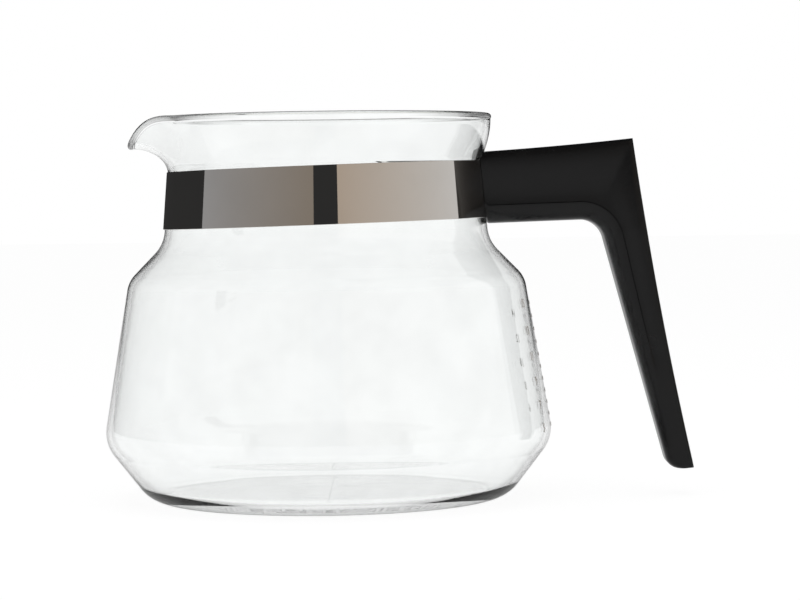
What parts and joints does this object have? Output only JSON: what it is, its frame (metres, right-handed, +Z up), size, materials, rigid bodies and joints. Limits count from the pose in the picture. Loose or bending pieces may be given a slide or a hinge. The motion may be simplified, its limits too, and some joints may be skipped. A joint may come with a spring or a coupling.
{
  "type": "coffee server carafe",
  "caption": "Clear glass coffee jug with an angular belly, a flared mouth and a pouring lip, a polished steel neck strap and a black moulded handle with an open lower end.",
  "frame": {"origin": "centre of the flat base, on the table", "axes": "+X towards the handle, -X towards the pouring lip, +Z up the jug, XZ is the plane of symmetry"},
  "size_m": [0.2167, 0.1644, 0.1419],
  "materials": {
    "clear_glass": "clear, fire-polished rim",
    "scale_enamel": "printed and fired, satin",
    "strap_steel": "mirror polished stainless strip",
    "block_steel": "zinc plated",
    "screw_steel": "zinc plated",
    "washer_steel": "zinc plated",
    "spring_steel": "zinc plated",
    "black_plastic": "semi-gloss thermoset moulding"
  },
  "bodies": {
    "root": {"glass_vessel": "clear_glass", "cup_scale": "scale_enamel", "clamp_strap": "strap_steel", "draw_block": "block_steel", "clamp_screw": "screw_steel", "flat_washer": "washer_steel", "spring_washer": "spring_steel", "handle": "black_plastic"}
  },
  "joints": []
}
